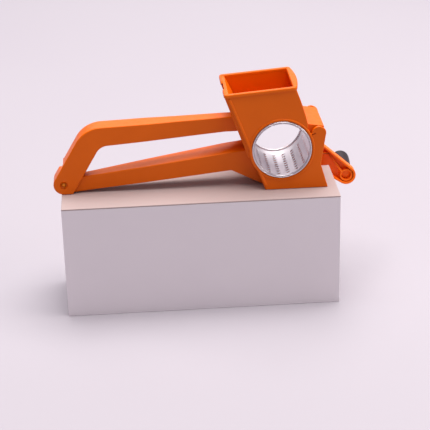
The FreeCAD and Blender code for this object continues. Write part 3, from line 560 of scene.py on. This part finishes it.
# %% Rolled lip of the hopper
LIP_TOP_RADIUS, LIP_LOW_RADIUS, END_ROUND = 1.25, 0.15, 1.2
LIP_CORNER_POINTS = 6
lip_slope = (LIP_HIGH[2] - LIP_THICK - LIP_LOW[2]) / (LIP_HIGH[0] - LIP_LOW[0])
across, up = rounded_box_profile(lip_width, LIP_THICK, LIP_TOP_RADIUS, LIP_LOW_RADIUS,
                                 LIP_CORNER_POINTS)
plan = inner[:, None] + (outer - inner)[:, None] * (across / lip_width[:, None])[..., None]
lip_z = LIP_LOW[2] + lip_slope * (plan[..., 0] - LIP_LOW[0]) + up
lip_points = np.concatenate([plan, lip_z[..., None]], axis=-1)
lip_middle = lip_points.mean(axis=1, keepdims=True)
from_end = np.minimum(np.abs(lip_middle[:, 0, 1] - SLOT_LOW), np.abs(lip_middle[:, 0, 1] - SLOT_HIGH))
# Only the left side has the slot, so every other station counts as far from an end.
on_left_side = lip_middle[:, 0, 0] < MOUTH_LEFT + 1
from_end = np.where(on_left_side, from_end, END_ROUND)
fullness = np.sqrt(np.clip(1 - (1 - np.clip(from_end / END_ROUND, 0, 1)) ** 2, 0, 1))
lip_points = lip_middle + (lip_points - lip_middle) * fullness[:, None, None]
hopper_lip = grid_piece("hopper_lip_rolled", lip_points * MM, wrap_columns=True)
finish(hopper_lip, "frame", "body_orange", body_abs, "hopper_rim")

# %% [markdown]
# The near plate is stiffened by two raised beads: one follows its left edge, and one is the ring
# round the drum. A bump could fake them, but it wouldn't show in outline or cast a shadow. So a
# bead is an ellipse carried along a path, half of it sunk in the plate. The edge's own line is
# found with a row of rays shot at the CAD plate, so the bead stays beside it.

# %% Bead along the edge of the near plate
PLATE_LOW, PLATE_HIGH = box_mm("near_side_plate")
ELLIPSE_POINTS, TAPER_POINTS = 20, 3


def ridge(path, width, height, face_y, closed):
    """An ellipse across the path: width / 2 * cos a along its normal, and height * sin a out."""
    if closed:
        run = np.roll(path, -1, axis=0) - np.roll(path, 1, axis=0)
        taper = np.ones(len(path))
    else:
        run = np.gradient(path, axis=0)
        steps_in = np.minimum(np.arange(len(path)), np.arange(len(path))[::-1])
        taper = np.sqrt(1 - (1 - np.clip(steps_in / TAPER_POINTS, 0, 1)) ** 2)
    run = run / np.linalg.norm(run, axis=1, keepdims=True)
    normal = np.stack([-run[:, 1], run[:, 0]], axis=-1)
    turn = np.linspace(0, 2 * math.pi, ELLIPSE_POINTS, endpoint=False)
    side = (taper * width / 2)[:, None] * np.cos(turn)
    out = face_y - (taper * height)[:, None] * np.sin(turn)
    flat = path[:, None] + normal[:, None] * side[..., None]
    return np.stack([flat[..., 0], out, flat[..., 1]], axis=-1)


BEAD_WIDTH, BEAD_HEIGHT, BEAD_INSET = 2.6, 0.75, 1.7
ABOVE_FOOT, BELOW_LIP, LEVEL_STEP = 2.0, 1.0, 1.0
RAY_FROM_X, AVERAGED = -200, 5
plate_tree = tree_of(NODES["near_side_plate"])
levels = np.arange(PLATE_LOW[2] + ABOVE_FOOT, LIP_LOW[2] - BELOW_LIP, LEVEL_STEP)
starts = [Vector((RAY_FROM_X, PLATE_HIGH[1] - 1, z)) * MM for z in levels]
hits = [plate_tree.ray_cast(start, Vector((1, 0, 0)))[0] for start in starts]
edge_x = np.array([hit.x for hit in hits]) / MM
edge_path = np.stack([edge_x, levels], axis=-1)
slope = np.gradient(edge_path, axis=0)
slope = slope / np.linalg.norm(slope, axis=1, keepdims=True)
bead_path = edge_path + BEAD_INSET * np.stack([slope[:, 1], -slope[:, 0]], axis=-1)
# A running mean of five points takes out small kinks in the line of hits.
kernel = np.ones(AVERAGED) / AVERAGED
inside = slice(AVERAGED // 2, -(AVERAGED // 2))
bead_path[inside] = np.stack([np.convolve(column, kernel, "valid") for column in bead_path.T], axis=-1)
edge_points = ridge(bead_path, BEAD_WIDTH, BEAD_HEIGHT, PLATE_LOW[1], False)
edge_bead = grid_piece("plate_edge_bead", edge_points * MM, wrap_columns=True)
finish(edge_bead, "frame", "body_orange", body_abs)

# %% [markdown]
# The ring round the drum is the same bead on a closed path, a circle about the drum's axis, so
# the same function makes it.

# %% Bead round the drum's hole
RING_INSIDE, RING_OUTSIDE, RING_HEIGHT = 26.5, 28.6, 0.7
around = np.linspace(0, 2 * math.pi, 180, endpoint=False)
ring_middle = (RING_INSIDE + RING_OUTSIDE) / 2
ring_path = DRUM_AXIS + ring_middle * np.stack([np.cos(around), np.sin(around)], axis=-1)
ring_points = ridge(ring_path, RING_OUTSIDE - RING_INSIDE, RING_HEIGHT, PLATE_LOW[1], True)
ring_bead = grid_piece("plate_ring_bead", ring_points * MM, wrap_rows=True, wrap_columns=True)
finish(ring_bead, "frame", "body_orange", body_abs)

# %% [markdown]
# The drum is a tube of thin steel with rows of teeth. The punch pushes each tooth outwards, so
# round every slot the sheet rises to a small crown. Cutting 171 slots with booleans would be slow
# and leave ragged faces. A grid in turn and length does all of it at once, if it has lines along
# every slot's edges. The grid is laid out first: seven lines to a slot each way, and three in
# each gap between columns.

# %% Grid of the drum
SHELL_RADIUS = (SHELL_HIGH[0] - SHELL_LOW[0]) / 2
COLUMNS, ROWS, ROW_PITCH, FIRST_ROW = 19, 9, 5.1, 9.1
SLOT_ROUND, SLOT_LONG, PLAIN_END = 3.1, 1.9, 2.5
LINES_IN_HALF_TURNS = np.array([-1.45, -1.0, -0.5, 0.0, 0.5, 1.0, 1.45])
LINES_IN_LENGTHS = np.array([-1.16, -0.8, -0.5, 0.0, 0.5, 0.8, 1.16])
GAP_LINES = np.array([-2.2, 0.0, 2.2])
slot_half_turn = math.degrees(SLOT_ROUND / 2 / SHELL_RADIUS)


def lines_about(centres, offsets):
    """Grid lines at every offset from every centre, in order."""
    return np.sort((np.asarray(centres)[:, None] + np.asarray(offsets)).ravel())


column_turns = np.arange(COLUMNS) * 360 / COLUMNS
slot_lines = lines_about(column_turns, LINES_IN_HALF_TURNS * slot_half_turn)
gap_lines = lines_about(column_turns + 180 / COLUMNS, GAP_LINES)
turn_lines = np.sort(np.concatenate([slot_lines, gap_lines]) % 360)
row_centres = SHELL_LOW[1] + FIRST_ROW + np.arange(ROWS) * ROW_PITCH
row_lines = lines_about(row_centres, LINES_IN_LENGTHS * SLOT_LONG)
row_lines = np.concatenate([[SHELL_LOW[1], SHELL_LOW[1] + PLAIN_END], row_lines,
                            [SHELL_HIGH[1] - PLAIN_END, SHELL_HIGH[1]]])
turns, alongs = np.meshgrid(turn_lines, row_lines, indexing="ij")
print("grid of", len(turn_lines), "by", len(row_lines), "lines")

# %% [markdown]
# Now each grid point learns how far it is from the middle of its own tooth, round the drum and
# along it. Its radius rises with that distance, the corners of each slot are drawn in a little to
# round them, and the quads inside the slots are left out. Solidify gives the sheet its thickness.

# %% Pierced drum shell
SHEET, CROWN, CROWN_REACH, CROWN_WIDTH = 0.4, 0.55, 2.2, 1.15
CORNER_IN_ROUND, CORNER_IN_LONG, AT_CORNER = 0.3, 0.2, 0.01


def nearest(values, centres, period=math.inf):
    """For each value, the signed distance to the nearest centre, counted round the period."""
    difference = np.asarray(values, float)[..., None] - np.asarray(centres)
    if period < math.inf:
        difference = (difference + period / 2) % period - period / 2
    best = np.abs(difference).argmin(axis=-1)
    return np.take_along_axis(difference, best[..., None], axis=-1)[..., 0]


round_offset = nearest(turns, column_turns, 360) / slot_half_turn
long_offset = nearest(alongs, row_centres) / (SLOT_LONG / 2)
at_side = np.abs(np.abs(round_offset) - 1) < AT_CORNER
at_end = np.abs(np.abs(long_offset) - 1) < AT_CORNER
corner = at_side & at_end
turns = turns - np.where(corner, CORNER_IN_ROUND * round_offset * slot_half_turn, 0)
alongs = alongs - np.where(corner, CORNER_IN_LONG * long_offset * SLOT_LONG / 2, 0)
# The crown is CROWN times exp(-(round / width)^4) times (1 - (long / reach)^2)^2.
rise = np.clip(1 - (long_offset * SLOT_LONG / 2 / CROWN_REACH) ** 2, 0, 1) ** 2
crown = CROWN * np.exp(-(round_offset / CROWN_WIDTH) ** 4) * rise
radii = SHELL_RADIUS + crown
angle = np.radians(turns)
shell_points = np.stack([DRUM_AXIS[0] + radii * np.cos(angle), alongs,
                         DRUM_AXIS[1] + radii * np.sin(angle)], axis=-1)
turn_middles = turn_lines + ((np.roll(turn_lines, -1) - turn_lines) % 360) / 2
row_middles = (row_lines[:-1] + row_lines[1:]) / 2
in_column = np.abs(nearest(turn_middles, column_turns, 360)) < slot_half_turn
in_row = np.abs(nearest(row_middles, row_centres)) < SLOT_LONG / 2
outside_slots = ~(in_column[:, None] & in_row[None, :])
drum_shell = grid_piece("drum_shell_pierced", shell_points * MM, wrap_rows=True, keep=outside_slots,
                        merge=False)
sheet = drum_shell.modifiers.new("sheet", "SOLIDIFY")
sheet.thickness = SHEET * MM
sheet.offset = -1.0
finish(drum_shell, "drum", "drum_steel", drum_steel, "drum_shell")
print(COLUMNS * ROWS, "teeth on a drum", round(2 * SHELL_RADIUS, 1), "mm across")

# %% [markdown]
# The open end of the drum is stiffened by a rolled rim. Its rounded nose has a shallow groove in
# the front, which is why it shows as a bright line, a dark line and a bright line again, and four
# small notches. A torus would give only the roundness. So the section is a superellipse, which
# goes from an oval to nearly a box with one number, and the groove and the notches push its front
# back by smooth steps.

# %% Nose of the near rim
RIM_LOW, RIM_HIGH = box_mm("drum_near_rim")
RIM_RADIUS = (RIM_HIGH[0] - RIM_LOW[0]) / 2
NOSE_INSIDE, NOSE_LONG, NOSE_POWER = 23.9, 2.5, 2.6
GROOVE_DEEP, GROOVE_WIDE = 0.8, 0.35
NOTCH_TURNS = np.array([53.5, 111.0, 233.5, 290.5])
NOTCH_DEEP, NOTCH_WIDE, NOTCH_REACH = 1.5, 3.0, 1.6
NOSE_STEPS = 360


def rounded_profile(inner, outer, low, high, power, count):
    """A closed profile: a superellipse, |x|^power + |y|^power = 1, stretched to the given box."""
    turn = np.linspace(0, 2 * math.pi, count, endpoint=False)
    cosine, sine = np.cos(turn), np.sin(turn)
    across = np.sign(cosine) * np.abs(cosine) ** (2 / power)
    along = np.sign(sine) * np.abs(sine) ** (2 / power)
    return np.stack([(inner + outer) / 2 + across * (outer - inner) / 2,
                     (low + high) / 2 + along * (high - low) / 2], axis=-1)


nose_back = RIM_LOW[1] + NOSE_LONG
nose_profile = rounded_profile(NOSE_INSIDE, RIM_RADIUS, RIM_LOW[1], nose_back, NOSE_POWER, 48)
groove = np.exp(-((nose_profile[:, 0] - (NOSE_INSIDE + RIM_RADIUS) / 2) / GROOVE_WIDE) ** 2)
nose_profile[:, 1] += GROOVE_DEEP * groove * (nose_profile[:, 1] < RIM_LOW[1] + NOSE_LONG / 2)
nose_points = turned(nose_profile, DRUM_AXIS, NOSE_STEPS)
nose_turns = np.arange(NOSE_STEPS) * 360 / NOSE_STEPS
notch = np.exp(-(nearest(nose_turns, NOTCH_TURNS) / NOTCH_WIDE) ** 6)[:, None]
frontness = np.clip((RIM_LOW[1] + NOTCH_REACH - nose_points[..., 1]) / NOTCH_REACH, 0, 1)
nose_points[..., 1] += NOTCH_DEEP * notch * frontness
near_rim = grid_piece("drum_near_rim_rolled", nose_points * MM, wrap_rows=True, wrap_columns=True)
finish(near_rim, "drum", "rim_steel", rim_steel, "drum_near_rim")

# %% [markdown]
# Behind the nose, a plain band lies on the outside of the sheet and runs in the near plate's
# hole. At the far end the sheet has a small curl, so that its edge isn't sharp. Both are the same
# kind of profile: nearly a box for the band, and nearly round for the curl.

# %% Band and far curl
BAND_IN_SHEET, BAND_IN_NOSE, BAND_POWER = 0.1, 0.9, 5.0
CURL_LOW, CURL_HIGH = box_mm("drum_far_rim")
CURL_RADIUS = (CURL_HIGH[0] - CURL_LOW[0]) / 2
CURL_INWARDS, CURL_OUTWARDS, CURL_POWER = 0.7, 0.3, 2.4
band_profile = rounded_profile(SHELL_RADIUS - BAND_IN_SHEET, RIM_RADIUS, nose_back - BAND_IN_NOSE,
                               RIM_HIGH[1], BAND_POWER, 32)
band_points = turned(band_profile, DRUM_AXIS, 180)
rim_band = grid_piece("drum_near_rim_band", band_points * MM, wrap_rows=True, wrap_columns=True)
finish(rim_band, "drum", "rim_steel", rim_steel)
curl_profile = rounded_profile(CURL_RADIUS - CURL_INWARDS, CURL_RADIUS + CURL_OUTWARDS,
                               CURL_LOW[1], CURL_HIGH[1], CURL_POWER, 20)
curl_points = turned(curl_profile, DRUM_AXIS, 160)
far_rim = grid_piece("drum_far_rim_curled", curl_points * MM, wrap_rows=True, wrap_columns=True)
finish(far_rim, "drum", "rim_steel", drum_steel, "drum_far_rim")

# %% [markdown]
# The arm's pivot pin is a plain moulded rod with slightly domed ends. A cylinder would have hard
# edges and flat ends, so its half profile, from the axis out and back, is turned about the Y axis.

# %% Pivot pin
def turned_piece(name, profile, centre, steps, hollow=False):
    """A solid of revolution: its profile starts and ends on the axis, or is a loop when hollow."""
    return grid_piece(name, turned(profile, centre, steps) * MM, wrap_rows=True, wrap_columns=hollow)


def quarter_round(from_radius, from_y, to_radius, to_y, count=8):
    """A quarter ellipse: radius = from + (to - from) sin t, and y = to + (from - to) cos t."""
    turn = np.linspace(0, math.pi / 2, count)
    return np.stack([from_radius + (to_radius - from_radius) * np.sin(turn),
                     to_y + (from_y - to_y) * np.cos(turn)], axis=-1)


def axis_and_radius(low, high):
    """The (x, z) of a round node's axis along Y, and its radius."""
    return ((low[0] + high[0]) / 2, (low[2] + high[2]) / 2), (high[0] - low[0]) / 2


PIN_LOW, PIN_HIGH = box_mm("pivot_pin")
PIN_AXIS, pin_radius = axis_and_radius(PIN_LOW, PIN_HIGH)
PIN_DOME = 0.8
pin_profile = np.concatenate([
    quarter_round(0.0, PIN_LOW[1], pin_radius, PIN_LOW[1] + PIN_DOME),
    quarter_round(0.0, PIN_HIGH[1], pin_radius, PIN_HIGH[1] - PIN_DOME)[::-1],
])
pivot_pin = turned_piece("pivot_pin_moulded", pin_profile, PIN_AXIS, 48)
finish(pivot_pin, "frame", "body_orange", pin_abs, "pivot_pin")
print("pivot axis at", [round(float(v), 2) for v in PIN_AXIS], "mm")

# %% [markdown]
# The knob turns on a spindle with a broad thin head, which shows at the bottom of the boss in the
# crank's end. Head and shank are one turned profile, with a step between them.

# %% Spindle of the knob
SPINDLE_LOW, SPINDLE_HIGH = box_mm("knob_spindle")
SPINDLE_AXIS, head_radius = axis_and_radius(SPINDLE_LOW, SPINDLE_HIGH)
SHANK_RADIUS, HEAD_THICK, HEAD_DOME, SHANK_DOME = 2.4, 1.8, 0.7, 0.6
head_back = SPINDLE_LOW[1] + HEAD_THICK
spindle_profile = np.concatenate([
    quarter_round(0.0, SPINDLE_LOW[1], head_radius, SPINDLE_LOW[1] + HEAD_DOME),
    [[head_radius, head_back], [SHANK_RADIUS, head_back]],
    quarter_round(0.0, SPINDLE_HIGH[1], SHANK_RADIUS, SPINDLE_HIGH[1] - SHANK_DOME)[::-1],
])
spindle = turned_piece("knob_spindle_moulded", spindle_profile, SPINDLE_AXIS, 48)
finish(spindle, "crank", "crank_orange", crank_abs_painted_light, "knob_spindle")

# %% [markdown]
# The knob is a dark satin moulding, slim at the neck and fuller at its domed end, so that fingers
# don't slip off. Its side follows a smooth step, t^2 (3 - 2 t), which starts and ends straight, so
# it meets the dome with no crease. The profile is a loop, because a bore for the spindle runs
# through the knob.

# %% Knob
KNOB_LOW, KNOB_HIGH = box_mm("knob_grip")
KNOB_AXIS, knob_radius = axis_and_radius(KNOB_LOW, KNOB_HIGH)
NECK_RADIUS, NECK_EDGE, DOME, BORE_RADIUS = 6.4, 0.8, 4.0, 2.45
flare = np.linspace(0, 1, 24)
grip_line = np.stack([
    NECK_RADIUS + (knob_radius - NECK_RADIUS) * flare ** 2 * (3 - 2 * flare),
    KNOB_LOW[1] + NECK_EDGE + (KNOB_HIGH[1] - DOME - KNOB_LOW[1] - NECK_EDGE) * flare,
], axis=-1)
neck = quarter_round(NECK_RADIUS - NECK_EDGE, KNOB_LOW[1], NECK_RADIUS, KNOB_LOW[1] + NECK_EDGE)
dome = quarter_round(BORE_RADIUS, KNOB_HIGH[1], knob_radius, KNOB_HIGH[1] - DOME, 14)
knob_profile = np.concatenate([[[BORE_RADIUS, KNOB_LOW[1]]], neck[:-1], grip_line, dome[:-1][::-1]])
knob = turned_piece("knob_grip_moulded", knob_profile, KNOB_AXIS, 96, hollow=True)
finish(knob, "knob", "knob_grey", knob_abs, "knob_grip")
print("knob axis at", [round(float(v), 2) for v in KNOB_AXIS], "mm")

# %% [markdown]
# A small domed button closes the end of the bore. It is a turned profile too, flat at the bottom
# where it sits in the knob.

# %% Button in the knob's end
CAP_LOW, CAP_HIGH = box_mm("knob_cap")
CAP_AXIS, cap_radius = axis_and_radius(CAP_LOW, CAP_HIGH)
CAP_DOME = 0.5
cap_profile = np.concatenate([
    [[0.0, CAP_LOW[1]], [cap_radius, CAP_LOW[1]]],
    quarter_round(0.0, CAP_HIGH[1], cap_radius, CAP_HIGH[1] - CAP_DOME)[::-1],
])
knob_cap = turned_piece("knob_cap_moulded", cap_profile, CAP_AXIS, 48)
finish(knob_cap, "knob", "knob_grey", knob_abs, "knob_cap")
